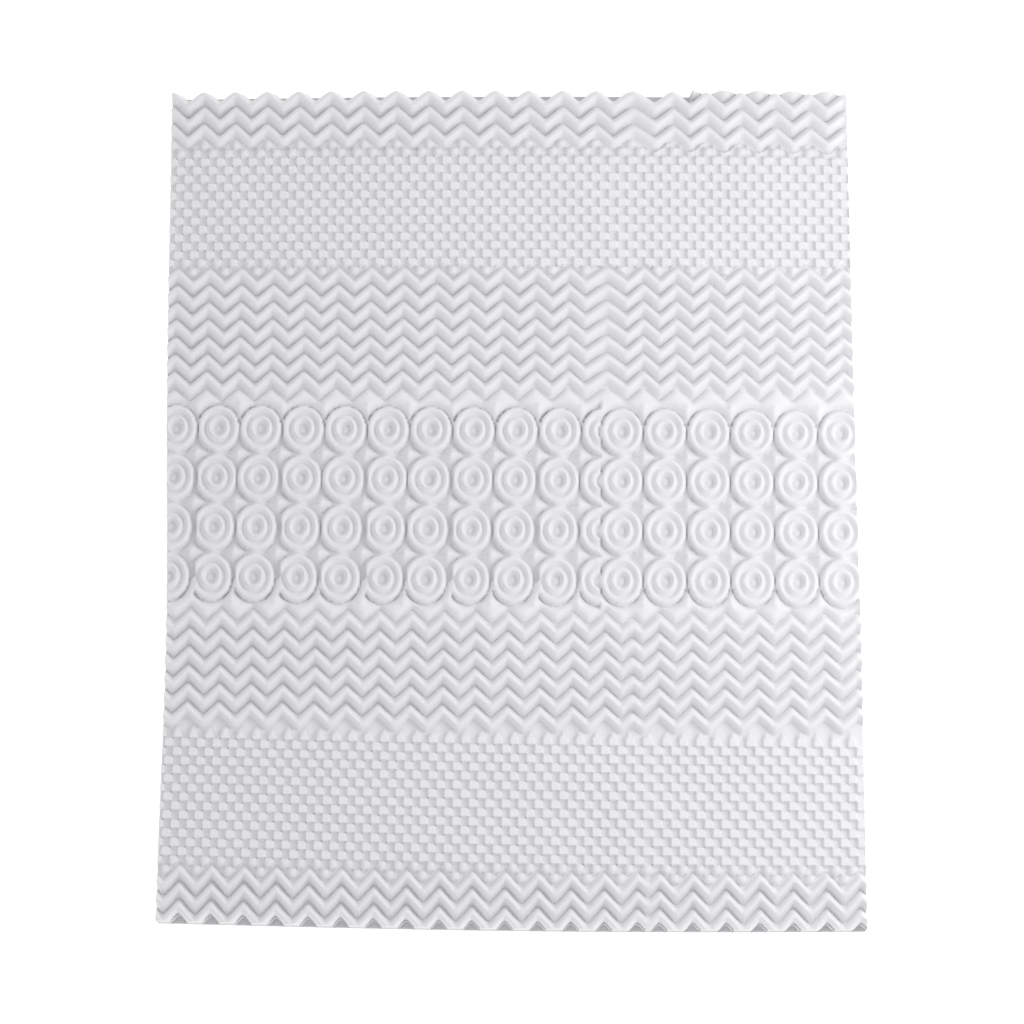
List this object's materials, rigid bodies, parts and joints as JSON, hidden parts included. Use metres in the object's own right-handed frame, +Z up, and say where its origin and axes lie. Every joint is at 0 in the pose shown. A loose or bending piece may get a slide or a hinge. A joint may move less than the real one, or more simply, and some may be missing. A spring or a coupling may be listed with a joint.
{
  "type": "mattress topper",
  "caption": "One-piece profile-cut foam mattress topper, 160 x 200 x 7.5 cm, with chevron, checker and ring bands.",
  "frame": {"origin": "middle of the flat underside, on the surface that the pad lies on", "axes": "+X across the bed, +Y along the bed towards its head, +Z up out of the profile-cut side"},
  "size_m": [1.6244, 1.9908, 0.075],
  "materials": {
    "white_foam": "matte open-cell foam"
  },
  "bodies": {
    "root": {"foam_pad": "white_foam"}
  },
  "joints": []
}
